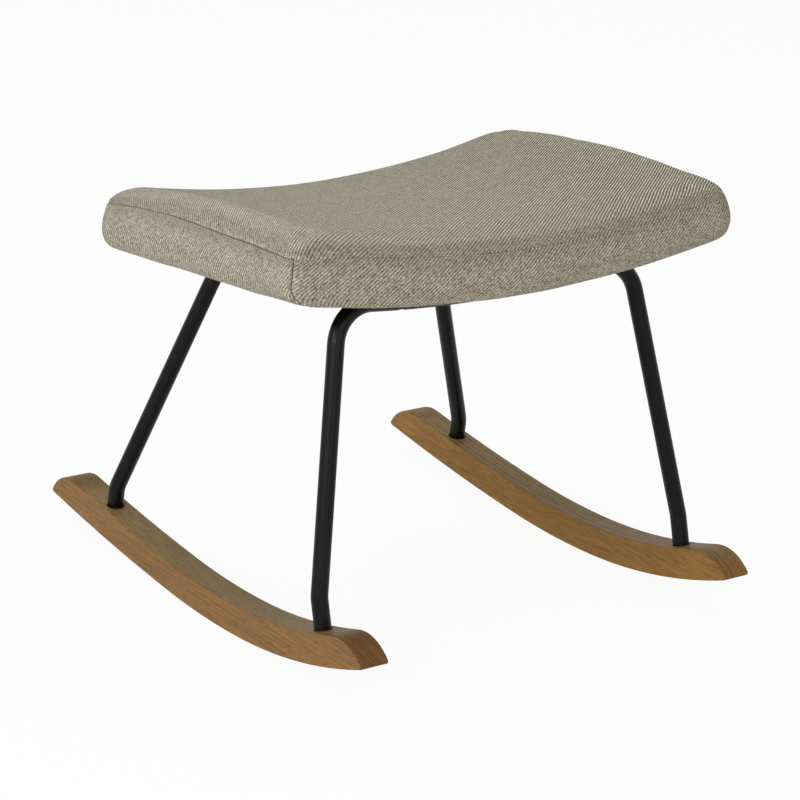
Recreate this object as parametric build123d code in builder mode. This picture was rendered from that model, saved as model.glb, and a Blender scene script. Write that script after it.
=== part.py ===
from build123d import *
import os
from math import asin, atan2, cos, degrees, radians, sin, sqrt, tan

os.makedirs("parts", exist_ok=True)

# Rocking footstool. X runs from rocker to rocker, Y along the rockers with the front at -Y, Z up.
# The origin lies on the floor, midway between the rockers. All sizes are in millimetres.

# ---- leg tube ----
tube_diameter = 18
tube_wall = 1.5
hoop_bend_radius = 42
stub_bend_radius = 36

# ---- rockers ----
rocker_spacing = 466
rocker_width = 34
rocker_depth = 34
rocker_front = 313.3
rocker_rear = 318.3
rocker_low_y = -18
rocker_radius = 1060
rocker_front_radius = 760
rocker_rear_radius = 3200
rocker_middle_front = 60
rocker_middle_rear = 80
rocker_nose = 46
rocker_tip_radius = 3
rocker_edge_radius = 1.5

# ---- where the legs enter the rockers ----
front_socket_y = -218
rear_socket_y = 202
front_stub_height = 33
rear_stub_height = 22
socket_depth = 16
socket_clearance = 0.3
socket_mouth = 1
socket_chamfer = 0.8
tube_end_gap = 0.3

# ---- seat ----
seat_length = 553
seat_width = 396
seat_tilt = 5.7
seat_centre_y = -28.8
seat_height = 359.3
saddle_radius = 1390
band_height = 48
band_bulge = 3
crown_height = 31
shoulder_height = 20
shoulder_width = 28
end_shoulder = 32
side_draft = 1.5
hem_radius = 8
rim_width = 20
rim_drop = 3.5
corner_radius = 18
end_lean = 8
least_fullness = 0.05
middle_stations = (0, 0.25, 0.5, 0.75, 1)
end_stations = (1, 0.8, 0.6, 0.42, 0.28, 0.18, 0.1, 0.04, 0.01, 0)

# ---- legs under the seat ----
front_bar_inset = 68.5
rear_bar_inset = 27.7
front_corner_x = 184.3
rear_corner_x = 137

# ---- seat layers ----
fabric_thickness = 1.2
wadding_thickness = 4
board_thickness = 12
board_corner = 12
board_edge_radius = 3
dust_cover_thickness = 0.5
layer_gap = 0.3
seam_gap = 0.4
hem_width = 42
dust_cover_inset = 21.5

# ---- fasteners ----
bolt_diameter = 6
bolt_clearance = 0.6
bolt_head_diameter = 10
bolt_head_height = 4
hex_key = 4
hex_depth = 2
washer_diameter = 12.5
washer_thickness = 1.6
counterbore_diameter = 14
counterbore_depth = 7
leg_insert_length = 18
leg_insert_clearance = 0.05
thread_clearance = 0.1
board_insert_diameter = 10
board_insert_length = 10
access_hole = 11
saddle_washer_level = 3.5
washer_fit = 0.05
front_bolt_x = 110
rear_bolt_x = 72
staple_crown = 9
staple_wire = 0.8
staple_leg = 7
staple_inset = 34
staples_long = 9
staples_short = 6
staple_row_share = 0.9
slot_clearance = 0.1
rocker_bolt_grip = 12

# ---- derived sizes ----
tube_radius = tube_diameter / 2
tube_bore = tube_diameter - 2 * tube_wall
rocker_x = rocker_spacing / 2
half_length = seat_length / 2
half_width = seat_width / 2
leg_reach = (staple_crown - staple_wire) / 2
slot = staple_wire + slot_clearance
insert_diameter = tube_bore - 2 * leg_insert_clearance
insert_bore = bolt_diameter + thread_clearance
bolt_hole = bolt_diameter + bolt_clearance
sides = (-1, 1)


def finish(piece, piece_name):
    """Label a finished piece and write it out."""
    piece.part.label = piece_name
    export_step(piece.part, f"parts/{piece_name}.step")


def turned(plane, angle):
    """The same plane, turned about its own Z axis."""
    return Plane(plane.location * Rotation(0, 0, angle))


def polar(centre, radius, angle):
    """Point on a circle in the rocker's side view; the angle is measured from straight down."""
    return (centre[0] + radius * sin(radians(angle)), centre[1] - radius * cos(radians(angle)))


# ---- rocker side view: three arcs that meet tangentially ----
front_turn = -degrees(asin(rocker_middle_front / rocker_radius))
rear_turn = degrees(asin(rocker_middle_rear / rocker_radius))
middle_centre = (rocker_low_y, rocker_radius)
front_centre = polar(middle_centre, rocker_radius - rocker_front_radius, front_turn)
rear_centre = polar(middle_centre, rocker_radius - rocker_rear_radius, rear_turn)
front_end = -degrees(asin((rocker_front + front_centre[0]) / rocker_front_radius))
rear_end = degrees(asin((rocker_rear - rear_centre[0]) / rocker_rear_radius))
front_top_radius = rocker_front_radius - rocker_depth
rear_top_radius = rocker_rear_radius - rocker_depth
front_nose_start = front_end + degrees(rocker_nose / front_top_radius)
rear_nose_start = rear_end - degrees(rocker_nose / rear_top_radius)


def side_arc(centre, radius, start, end):
    return CenterArc(centre, radius, start - 90, end - start)


def socket_plane(side, socket_y):
    """Plane on the rocker's top face at a leg, its Z axis square to the face."""
    centre, radius = (front_centre, front_top_radius)
    if socket_y > 0:
        centre, radius = (rear_centre, rear_top_radius)
    angle = degrees(asin((socket_y - centre[0]) / radius))
    y, z = polar(centre, radius, angle)
    up = (0, -sin(radians(angle)), cos(radians(angle)))
    return Plane(origin=(side * rocker_x, y, z), x_dir=(1, 0, 0), z_dir=up)


socket_planes = [socket_plane(side, y) for side in sides for y in (front_socket_y, rear_socket_y)]

# ---- rockers ----
for side, rocker_name in ((-1, "left_rocker"), (1, "right_rocker")):
    side_view = Plane(origin=(side * rocker_x - rocker_width / 2, 0, 0), x_dir=(0, 1, 0), z_dir=(1, 0, 0))
    with BuildPart() as rocker:
        with BuildSketch(side_view) as outline:
            with BuildLine():
                side_arc(front_centre, rocker_front_radius, front_end, front_turn)
                side_arc(middle_centre, rocker_radius, front_turn, rear_turn)
                side_arc(rear_centre, rocker_rear_radius, rear_turn, rear_end)
                side_arc(rear_centre, rear_top_radius, rear_turn, rear_nose_start)
                side_arc(middle_centre, rocker_radius - rocker_depth, front_turn, rear_turn)
                side_arc(front_centre, front_top_radius, front_nose_start, front_turn)
                TangentArc(
                    polar(front_centre, front_top_radius, front_nose_start),
                    polar(front_centre, rocker_front_radius, front_end),
                    tangent=(-cos(radians(front_nose_start)), -sin(radians(front_nose_start))),
                )
                TangentArc(
                    polar(rear_centre, rear_top_radius, rear_nose_start),
                    polar(rear_centre, rocker_rear_radius, rear_end),
                    tangent=(cos(radians(rear_nose_start)), sin(radians(rear_nose_start))),
                )
            make_face()
            fillet(outline.vertices().sort_by(Axis.X)[0], rocker_tip_radius)
            fillet(outline.vertices().sort_by(Axis.X)[-1], rocker_tip_radius)
        extrude(amount=rocker_width)
        fillet(rocker.faces().sort_by(Axis.X)[0].edges(), rocker_edge_radius)
        fillet(rocker.faces().sort_by(Axis.X)[-1].edges(), rocker_edge_radius)
        for top in (plane for plane in socket_planes if plane.origin.X * side > 0):
            with BuildSketch(top.offset(socket_mouth)):
                Circle(tube_radius + socket_clearance)
            extrude(amount=-socket_mouth - socket_depth, mode=Mode.SUBTRACT)
            with BuildSketch(top.offset(socket_mouth)):
                Circle(tube_radius + socket_clearance + socket_chamfer + socket_mouth)
            extrude(amount=-socket_mouth - socket_chamfer, taper=45, mode=Mode.SUBTRACT)
            with BuildSketch(top):
                Circle(bolt_hole / 2)
            extrude(amount=-2 * rocker_depth, mode=Mode.SUBTRACT)
            with BuildSketch(top.offset(counterbore_depth - rocker_depth)):
                Circle(counterbore_diameter / 2)
            extrude(amount=-rocker_depth, mode=Mode.SUBTRACT)
    finish(rocker, rocker_name)

# ---- seat frame: the underside is a saddle, an arc along X carried straight to the back ----
tilt = radians(seat_tilt)
seat_up = Vector(0, sin(tilt), cos(tilt))
seat_back = Vector(0, cos(tilt), -sin(tilt))
seat_side = Vector(1, 0, 0)
rim_origin = Vector(0, seat_centre_y, seat_height)
seat_origin = rim_origin + seat_up * rim_drop
seat_plane = Plane(origin=seat_origin, x_dir=seat_side, z_dir=seat_up)
half_arc = saddle_radius * asin(half_length / saddle_radius)
cover_top = band_height + 2 * crown_height
board_low = fabric_thickness + layer_gap
board_high = board_low + board_thickness
wadding_inset = fabric_thickness + layer_gap
foam_inset = wadding_inset + wadding_thickness + layer_gap
board_inset = foam_inset
bar_drop = 2 * layer_gap + dust_cover_thickness + tube_radius
washer_low = saddle_washer_level - bar_drop
seam_level = band_height - rim_drop
diagonal = sin(radians(45))
half_round = 1 - diagonal


def saddle_plane(along, depth, height=0):
    """Plane square to the underside, at a distance along the saddle, towards the back and up."""
    turn = along / saddle_radius
    up = seat_up * cos(turn) - seat_side * sin(turn)
    tangent = seat_side * cos(turn) + seat_up * sin(turn)
    arc_centre = seat_origin + seat_up * saddle_radius + seat_back * depth
    return Plane(origin=arc_centre - up * (saddle_radius - height), x_dir=tangent, z_dir=up)


def saddle_slab(low, high, inset, corner=0.0):
    """Curved slab between two heights over the underside, drawn in from the cushion's edges."""
    end = degrees((half_arc - inset) / saddle_radius)
    with BuildPart() as slab:
        with BuildSketch(Plane(origin=seat_origin, x_dir=seat_side, z_dir=-seat_back)):
            with BuildLine():
                bottom = CenterArc((0, saddle_radius), saddle_radius - low, -90 - end, 2 * end)
                top = CenterArc((0, saddle_radius), saddle_radius - high, -90 - end, 2 * end)
                Line(bottom @ 0, top @ 0)
                Line(bottom @ 1, top @ 1)
            make_face()
        extrude(amount=half_width - inset, both=True)
        if corner:
            fillet(slab.edges().sort_by(SortBy.LENGTH)[:4], corner)
    return slab.part


# ---- leg frames: one bent tube each, two legs and the bar under the seat ----
def unit(vector):
    return vector.normalized()


def leg_frame_points(side, socket_y, stub_height, bar_depth, corner_x):
    """Route of one half of a leg frame, from the foot in its socket to the start of the bar."""
    socket = socket_plane(side, socket_y)
    kink = socket.origin + socket.z_dir * stub_height
    bar_middle = saddle_plane(0, bar_depth, -bar_drop).origin
    foot_line = Vector(0, kink.Y, kink.Z)
    rise = bar_middle - foot_line
    hoop = Plane(origin=foot_line, x_dir=seat_side, z_dir=seat_side.cross(unit(rise)))
    bar_radius = (saddle_radius + bar_drop) * unit(rise).dot(seat_up)
    bar_centre = Vector(0, rise.length + bar_radius)
    corner = Vector(side * corner_x, bar_centre.Y - sqrt(bar_radius**2 - corner_x**2))
    start = Vector(side * rocker_x, 0)
    leg = unit(corner - start)
    inward = Vector(-side * leg.Y, side * leg.X)
    offset = start + inward * hoop_bend_radius - bar_centre
    reach = offset.dot(leg)
    length = -reach - sqrt(reach**2 - offset.length**2 + (bar_radius + hoop_bend_radius) ** 2)
    bend_centre = start + leg * length + inward * hoop_bend_radius
    bar_end = bar_centre + unit(bend_centre - bar_centre) * bar_radius
    leg_direction = hoop.x_dir * leg.X + hoop.y_dir * leg.Y
    trim = stub_bend_radius * tan(radians(socket.z_dir.get_angle(leg_direction)) / 2)
    return {
        "foot": socket.origin - socket.z_dir * (socket_depth - tube_end_gap),
        "stub_end": kink - socket.z_dir * trim,
        "leg_start": kink + leg_direction * trim,
        "leg_end": hoop.from_local_coords(start + leg * length),
        "bar_end": hoop.from_local_coords(bar_end),
        "bar_middle": bar_middle,
        "stub_direction": socket.z_dir,
        "leg_direction": leg_direction,
    }


def bolt_axis(point):
    """Plane on the underside whose Z axis passes through a point of the bar."""
    offset = point - seat_origin
    turn = atan2(offset.X, saddle_radius - offset.dot(seat_up))
    return saddle_plane(saddle_radius * turn, offset.dot(seat_back))


frame_layout = {
    "front_leg_frame": (front_socket_y, front_stub_height, front_bar_inset - half_width, front_corner_x),
    "rear_leg_frame": (rear_socket_y, rear_stub_height, half_width - rear_bar_inset, rear_corner_x),
}
bolt_spacing = {"front_leg_frame": front_bolt_x, "rear_leg_frame": rear_bolt_x}
bolt_planes = []
bar_planes = []
for frame_name, layout in frame_layout.items():
    with BuildPart() as frame:
        with BuildLine() as route:
            bar_ends = []
            for side in sides:
                half = leg_frame_points(side, *layout)
                Line(half["foot"], half["stub_end"])
                TangentArc(half["stub_end"], half["leg_start"], tangent=half["stub_direction"])
                Line(half["leg_start"], half["leg_end"])
                TangentArc(half["leg_end"], half["bar_end"], tangent=half["leg_direction"])
                bar_ends.append(half["bar_end"])
            bar = ThreePointArc(bar_ends[0], half["bar_middle"], bar_ends[1])
        path = route.wire()
        with BuildSketch(Plane(origin=path @ 0, z_dir=path % 0)):
            Circle(tube_radius)
            Circle(tube_bore / 2, mode=Mode.SUBTRACT)
        sweep(path=path)
        for side in sides:
            share = 0.5 + side * bolt_spacing[frame_name] / (bar_ends[1] - bar_ends[0]).length
            axis = bolt_axis(bar @ share)
            bolt_planes.append(axis)
            bar_planes.append(Plane(origin=bar @ share, z_dir=bar % share))
            with BuildSketch(axis.offset(-bar_drop)):
                Circle(bolt_hole / 2)
            extrude(amount=tube_diameter, mode=Mode.SUBTRACT)
            with BuildSketch(axis.offset(-bar_drop)):
                Circle(access_hole / 2)
            extrude(amount=-tube_diameter, mode=Mode.SUBTRACT)
    finish(frame, frame_name)


# ---- seat cushion: one envelope, drawn in layer by layer ----
def round_drop(distance, radius):
    """How far a quarter-round of this radius has dropped at a distance from the end."""
    if distance >= radius:
        return 0
    return radius - sqrt(radius**2 - (radius - distance) ** 2)


def cushion(inset):
    """Solid with boxed sides, rounded shoulders over the seam, a low crown and a rim round the underside."""
    reach = half_length - inset
    rounded = end_shoulder - inset
    middle_steps = [(reach - rounded) * share for share in middle_stations]
    end_steps = [reach - rounded * share for share in end_stations]
    hem = hem_radius - inset
    rim = rim_width - inset
    shoulder_in = shoulder_width - inset
    with BuildPart() as body:
        for steps, is_ruled in ((middle_steps, False), (end_steps, True)):
            for x in steps:
                full = max(1 - round_drop(reach - x, rounded) / rounded, least_fullness)
                wall = half_width - inset - round_drop(reach - x, corner_radius - inset)
                low = inset + round_drop(reach - x, hem)
                flat = low + rim_drop * min(max((reach - x - hem) / (rim - hem), least_fullness), 1)
                seam = wall - side_draft
                middle = (wall + seam) / 2 + band_bulge
                shoulder_up = (shoulder_height - inset) * full
                crown_up = (crown_height - inset) * full
                lean = radians(end_lean) * x / half_length
                rise = saddle_radius - sqrt(saddle_radius**2 - x**2)
                across = Plane(
                    origin=rim_origin + seat_side * x + seat_up * rise,
                    x_dir=seat_back,
                    z_dir=seat_side * cos(lean) + seat_up * sin(lean),
                )
                with BuildSketch(across):
                    with BuildLine():
                        Polyline((hem - wall, low), (rim - wall, flat), (wall - rim, flat), (wall - hem, low))
                        for y in sides:
                            RadiusArc((y * (wall - hem), low), (y * wall, low + hem), -y * hem)
                            ThreePointArc(
                                (y * wall, low + hem),
                                (y * middle, (low + hem + band_height) / 2),
                                (y * seam, band_height),
                            )
                            ThreePointArc(
                                (y * seam, band_height),
                                (y * (seam - shoulder_in * half_round), band_height + shoulder_up * diagonal),
                                (y * (seam - shoulder_in), band_height + shoulder_up),
                            )
                        ThreePointArc(
                            (shoulder_in - seam, band_height + shoulder_up),
                            (0, band_height + crown_up),
                            (seam - shoulder_in, band_height + shoulder_up),
                        )
                    make_face()
            loft(ruled=is_ruled)
        mirror(about=Plane.YZ)
    return body.part


# ---- holes for the frame bolts through the thin layers under the board ----
with BuildPart(mode=Mode.PRIVATE) as bolt_bores:
    for axis in bolt_planes:
        with BuildSketch(axis.offset(-bar_drop)):
            Circle(bolt_hole / 2)
        extrude(amount=2 * bar_drop)

# ---- staples: hems and dust cover are stapled up into the board ----
row_x = half_arc - staple_inset
row_y = half_width - staple_inset
long_steps = [row_x * (2 * k / (staples_long - 1) - 1) * staple_row_share for k in range(staples_long)]
short_steps = [row_y * (2 * k / (staples_short - 1) - 1) * staple_row_share for k in range(staples_short)]
staple_planes = [saddle_plane(x, side * row_y) for x in long_steps for side in sides]
staple_planes += [turned(saddle_plane(side * row_x, y), 90) for y in short_steps for side in sides]
dust_low = -layer_gap - dust_cover_thickness
with BuildPart() as staple:
    with BuildSketch(Plane.XY.offset(dust_low - staple_wire)):
        Rectangle(staple_crown, staple_wire)
    extrude(amount=staple_wire)
    with BuildSketch(Plane.XY.offset(dust_low)):
        with Locations((-leg_reach, 0), (leg_reach, 0)):
            Rectangle(staple_wire, staple_wire)
    extrude(amount=staple_leg)
with BuildPart() as staples:
    with Locations(*[spot.location for spot in staple_planes]):
        add(staple.part)
finish(staples, "staples")
with BuildPart(mode=Mode.PRIVATE) as staple_slots:
    with Locations(*[spot.location for spot in staple_planes]):
        for leg_x in (-leg_reach, leg_reach):
            with Locations((leg_x, 0, dust_low - slot_clearance)):
                Box(slot, slot, staple_leg + 2 * slot_clearance, align=(Align.CENTER, Align.CENTER, Align.MIN))

# ---- seat board: bent plywood on the saddle ----
with BuildPart() as seat_board:
    add(saddle_slab(board_low, board_high, board_inset, board_corner))
    fillet(seat_board.faces().sort_by(Axis.Z)[0].edges(), board_edge_radius)
    for axis in bolt_planes:
        with BuildSketch(axis.offset(board_low - layer_gap)):
            Circle((board_insert_diameter + thread_clearance) / 2)
        extrude(amount=board_insert_length + 2 * layer_gap, mode=Mode.SUBTRACT)
    add(staple_slots.part, mode=Mode.SUBTRACT)
finish(seat_board, "seat_board")

# ---- soft layers over the board ----
with BuildPart() as seat_foam:
    add(cushion(foam_inset))
    add(saddle_slab(-2 * rim_drop, board_high + layer_gap, -hem_width), mode=Mode.SUBTRACT)
finish(seat_foam, "seat_foam")

with BuildPart() as wadding:
    add(cushion(wadding_inset))
    add(cushion(wadding_inset + wadding_thickness), mode=Mode.SUBTRACT)
    add(saddle_slab(-layer_gap, board_high, board_inset - layer_gap, board_corner), mode=Mode.SUBTRACT)
finish(wadding, "foam_wadding")

# ---- cover: a top panel sewn to four side bands whose hems turn in under the board ----
with BuildPart() as cover:
    add(cushion(0))
    add(cushion(fabric_thickness), mode=Mode.SUBTRACT)
    add(saddle_slab(-layer_gap, board_low, hem_width, board_corner), mode=Mode.SUBTRACT)
    add(staple_slots.part, mode=Mode.SUBTRACT)
    add(bolt_bores.part, mode=Mode.SUBTRACT)
with BuildPart() as top_panel:
    add(cover.part)
    add(saddle_slab(-2 * rim_drop, seam_level + seam_gap / 2, -hem_width), mode=Mode.SUBTRACT)
finish(top_panel, "top_panel")
with BuildPart() as bands:
    add(cover.part)
    add(saddle_slab(seam_level - seam_gap / 2, cover_top, -hem_width), mode=Mode.SUBTRACT)
beyond = 2 * hem_width
band_layout = {
    "front_band": (0, half_width, half_length),
    "right_band": (90, half_length, half_width),
    "rear_band": (180, half_width, half_length),
    "left_band": (270, half_length, half_width),
}
for band_name, (turn, reach, side_reach) in band_layout.items():
    with BuildPart() as band:
        with BuildSketch(turned(seat_plane, turn).offset(-beyond)):
            with BuildLine():
                Polyline(
                    (-side_reach - beyond, -reach - beyond - seam_gap),
                    (side_reach + beyond, -reach - beyond - seam_gap),
                    (side_reach - beyond, -reach + beyond - seam_gap),
                    (beyond - side_reach, -reach + beyond - seam_gap),
                    close=True,
                )
            make_face()
        extrude(amount=2 * beyond + cover_top)
        add(bands.part, mode=Mode.INTERSECT)
    finish(band, band_name)

# ---- dust cover under the board ----
with BuildPart() as dust_cover:
    add(saddle_slab(dust_low, -layer_gap, dust_cover_inset, board_corner))
    add(staple_slots.part, mode=Mode.SUBTRACT)
    add(bolt_bores.part, mode=Mode.SUBTRACT)
finish(dust_cover, "dust_cover")


# ---- bolts ----
def bolt(spot, shank_length):
    """Button-head bolt: the head's bearing face lies on the plane and the shank goes up."""
    with BuildPart() as part:
        with BuildSketch(spot):
            Circle(bolt_diameter / 2)
        extrude(amount=shank_length)
        with BuildSketch(spot.offset(-bolt_head_height)):
            Circle(bolt_head_diameter / 2)
        extrude(amount=bolt_head_height)
        with BuildSketch(spot.offset(-bolt_head_height)):
            RegularPolygon(hex_key / 2, 6, major_radius=False)
        extrude(amount=hex_depth, mode=Mode.SUBTRACT)
    return part.part


def ring(spot, outer, bore, thickness):
    """Flat ring that rises from the plane."""
    with BuildPart() as part:
        with BuildSketch(spot):
            Circle(outer / 2)
            Circle(bore / 2, mode=Mode.SUBTRACT)
        extrude(amount=thickness)
    return part.part


def saddle_washer(axis, bar_plane):
    """Washer inside the bar between the bolt's head and the upper wall, rounded to the tube's bore."""
    with BuildPart() as part:
        with BuildSketch(axis.offset(washer_low)):
            Circle(bolt_head_diameter / 2)
            Circle(insert_bore / 2, mode=Mode.SUBTRACT)
        extrude(amount=tube_radius)
        with BuildSketch(bar_plane):
            Circle(tube_bore / 2 - washer_fit)
        extrude(amount=bolt_head_diameter, both=True, mode=Mode.INTERSECT)
    return part.part


# each list holds identical pieces that share one node
floor_depth = rocker_depth - counterbore_depth
foot_depth = socket_depth - tube_end_gap
rocker_bolt_length = washer_thickness + floor_depth - foot_depth + rocker_bolt_grip
frame_bolt_length = board_low + board_insert_length - washer_low - thread_clearance
groups = {
    "rocker_washers": [
        ring(top.offset(-floor_depth - washer_thickness), washer_diameter, insert_bore, washer_thickness)
        for top in socket_planes
    ],
    "rocker_bolts": [
        bolt(top.offset(-floor_depth - washer_thickness), rocker_bolt_length) for top in socket_planes
    ],
    "leg_inserts": [
        ring(top.offset(-foot_depth), insert_diameter, insert_bore, leg_insert_length)
        for top in socket_planes
    ],
    "board_inserts": [
        ring(axis.offset(board_low), board_insert_diameter, insert_bore, board_insert_length)
        for axis in bolt_planes
    ],
    "saddle_washers": [
        saddle_washer(axis, bar_plane) for axis, bar_plane in zip(bolt_planes, bar_planes)
    ],
    "frame_bolts": [bolt(axis.offset(washer_low), frame_bolt_length) for axis in bolt_planes],
}
for group_name, pieces in groups.items():
    with BuildPart() as group:
        add(pieces)
    finish(group, group_name)
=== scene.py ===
"""Rocking footstool: a twill-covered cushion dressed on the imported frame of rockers, legs and seat board."""
import math
from collections import namedtuple

import bpy
from mathutils import Matrix, Vector, noise


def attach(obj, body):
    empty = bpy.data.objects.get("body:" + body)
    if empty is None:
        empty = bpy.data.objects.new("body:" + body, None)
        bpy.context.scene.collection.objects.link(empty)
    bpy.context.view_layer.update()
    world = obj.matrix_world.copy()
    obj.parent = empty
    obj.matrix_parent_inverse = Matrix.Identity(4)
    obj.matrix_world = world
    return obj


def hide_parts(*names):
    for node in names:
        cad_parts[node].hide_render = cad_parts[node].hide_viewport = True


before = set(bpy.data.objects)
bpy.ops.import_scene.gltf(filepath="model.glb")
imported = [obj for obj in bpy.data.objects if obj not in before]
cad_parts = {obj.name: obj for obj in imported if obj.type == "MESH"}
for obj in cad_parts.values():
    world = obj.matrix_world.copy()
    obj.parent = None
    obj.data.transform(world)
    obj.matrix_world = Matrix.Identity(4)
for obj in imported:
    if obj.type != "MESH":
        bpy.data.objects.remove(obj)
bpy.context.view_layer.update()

MM = 0.001

# ---- the photograph's viewpoint: angles in degrees, lens and sensor in mm ----
CAMERA_TARGET = Vector((9.14, 5.11, 193.97)) * MM
CAMERA_DISTANCE = 3515.3 * MM
CAMERA_AZIMUTH = -35.23
CAMERA_ELEVATION = 19.19
CAMERA_ROLL = 2.12
CAMERA_LENS = 145.12
CAMERA_SENSOR = 36

# ---- studio: sizes and places in metres, lamps' power in watts ----
FLOOR_SIZE = 16
FLOOR_DROP = 0.2 * MM
FLOOR_GLOW = 0.93
ROOM_LIGHT = 0.42
LAMP_AIM = Vector((0, 0, 0.25))
# each lamp: its place, width, power and colour
LAMPS = {
    "left_softbox": ((-2.8, -0.6, 1.6), 1.8, 40, "#FFFFFF"),
    "left_strip": ((-2.2, -1.9, 1.2), 0.4, 12, "#FFFFFF"),
    "front_softbox": ((-0.4, -3.0, 1.3), 1.6, 14, "#FFF0DC"),
    "overhead": ((-0.2, 0.3, 2.8), 2.0, 26, "#FDFFFA"),
}

# ---- seat: a saddle that rises to both ends, on a plane that tips down to the back ----
SEAT_TILT = math.radians(5.7)
RIM_ORIGIN = Vector((0, -28.8, 359.3)) * MM
SADDLE_RADIUS = 1390 * MM
HALF_LENGTH = 276.5 * MM
HALF_WIDTH = 198 * MM
END_LEAN = math.radians(8)
CORNER_RADIUS = 18 * MM
TOP_CORNER_RADIUS = 30 * MM
HEM_RADIUS = 8 * MM
END_HEM_RADIUS = 14 * MM
HEM_SAG = 2.5 * MM
HEM_WAVE = 1 * MM
HEM_WAVE_LENGTH = 55 * MM
# the hem's waves are read from another layer of the noise than the top's unevenness
HEM_WAVE_LAYER = 5
RIM_WIDTH = 20 * MM
RIM_DROP = 3.5 * MM
RIM_CORNER_RADIUS = 4 * MM
# the ring between the rim's inner edge and the hem
MID_RIM_LONG_INSET = 14 * MM
MID_RIM_END_INSET = 17 * MM
MID_RIM_CORNER_RADIUS = 8 * MM
SEAM_HEIGHT = 48 * MM
BAND_DRAFT = 1.5 * MM
LONG_BAND_BULGE = 3 * MM
END_BAND_BULGE = 2 * MM
# under 1 a band is fullest a little below its middle
BULGE_POWER = 0.85
SHOULDER_HEIGHT = 19 * MM
LONG_SHOULDER = 21 * MM
END_SHOULDER = 24 * MM
CROWN_HEIGHT = 11 * MM
CROWN_LOSS = 0.5
# over 1 the shoulders are fuller than a quarter of an ellipse
SHOULDER_FULLNESS = 1.13
TOP_UNEVENNESS = 0.5 * MM
TOP_UNEVENNESS_LENGTH = 70 * MM
# the filling sits a little askew, high at the front left and rear right, and less so at the very ends
FILLING_TWIST = 5.8 * MM
TWIST_LOSS = 0.4
END_SEAM_ARCH = 3 * MM
CORNER_PULL = Vector((-9, 5)) * MM
CORNER_PULL_REACH = 70 * MM
TUCK_HEIGHT = 16 * MM
# the left end's seam is sewn out of true: high towards the rear, low at the front corner
SEAM_SWING = 4.4 * MM
SEAM_SWING_TURN = 3
SEAM_CORNER_DROP = 3 * MM
SEAM_SWING_REACH = 45 * MM
# between its corners the hem hangs slack over the bars
HEM_SLACK = 1.6 * MM
HEM_SLACK_SHARE = 0.3

# ---- cover cloth and sewing ----
WARP_PITCH = 1.28 * MM
WEFT_PITCH = 0.98 * MM
YARN_RELIEF = 0.45 * MM
# pattern scales are per metre: yarns wander over about 22 mm, slubs are 11 mm long, patches 45 mm wide
YARN_DRIFT_SCALE = 45.0
SLUB_SCALE = 90.0
PATCH_SCALE = 22.0
# the most that a yarn leaves its line to either side is half of this, in yarns
YARN_DRIFT = 0.9
# how far apart in the noise neighbouring yarns take their slubs
YARN_SPREAD = 7.3
SEAM_DEPTH = 1.8 * MM
SEAM_REACH = 1.2 * MM
# the mesh is finer at the seams: columns beside the corner seams, rings under and over the top seam
GRID_STEP = 6 * MM
COLUMNS_FROM_SEAM = [0, SEAM_REACH, 2.8 * MM, 6 * MM, 10 * MM, 15 * MM]
HEM_RINGS = [0, 1.1 * MM, 4 * MM]
BAND_RING_STEP = 6.5 * MM
BAND_RINGS = 6
RINGS_UNDER_SEAM = [5.5 * MM, 2.8 * MM, SEAM_REACH, 0]
SHOULDER_TURNS = (3, 7.5, 14, 22, 31, 41, 52, 64, 77, 90)
SHOULDER_RUN = 60 * MM
# how much of the full depth and painted shade a seam has: at the ends, and along the sides, where it comes and
# goes
END_SEAM_SHARE = 0.9
LONG_SEAM_SHARE = 0.62
LONG_SEAM_VARIES = 0.5
LONG_SEAM_BREAK = 14 * MM
# a side's seam starts at this part of its share at a corner, and would gain a whole share over this way
LONG_SEAM_START = 0.4
LONG_SEAM_FADE = 100 * MM
PUCKER_DEPTH = 0.5 * MM
PUCKER_LENGTH = 11 * MM
PUCKER_REACH = 12 * MM
CLOTH_FRAMES = 14
CLOTH_PRESSURE = 4
CLOTH_REACH = 2.5 * MM
WELD_PITCH = 2 * MM

# ---- rockers: how far from the middle their noses start, and where their darkening, from open grain and painted shade, is full ----
NOSE_START = 232 * MM
NOSE_FULLY_DARK = 262 * MM

SEAT_UP = Vector((0, math.sin(SEAT_TILT), math.cos(SEAT_TILT)))
SEAT_BACK = Vector((0, math.cos(SEAT_TILT), -math.sin(SEAT_TILT)))
SEAT_SIDE = Vector((1, 0, 0))


def linear(hex_colour):
    """An sRGB hex colour as the linear RGBA that shaders use."""
    parts = [int(hex_colour[start:start + 2], 16) / 255 for start in (1, 3, 5)]
    return [part / 12.92 if part <= 0.04045 else ((part + 0.055) / 1.055) ** 2.4 for part in parts] + [1]


def add_node(tree, kind, inputs=(), **settings):
    """Add a shader node; each input is a value, a socket, or a node whose first output is taken.

    Inputs go by place or by name. A Mix node's go by place: 0 is the share, 2 and 3 are the numbers to
    mix, and 6 and 7 the colours, whose mix is output 2.
    """
    made = tree.nodes.new("ShaderNode" + kind)
    for name, value in settings.items():
        setattr(made, name, value)
    named = inputs if isinstance(inputs, dict) else dict(enumerate(inputs))
    for place, value in named.items():
        if isinstance(value, bpy.types.Node):
            value = value.outputs[0]
        if isinstance(value, bpy.types.NodeSocket):
            tree.links.new(value, made.inputs[place])
        else:
            made.inputs[place].default_value = value
    return made


def new_surface(name):
    """An empty material and its node tree."""
    material = bpy.data.materials.new(name)
    material.use_nodes = True
    material.node_tree.nodes.clear()
    return material, material.node_tree


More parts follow.
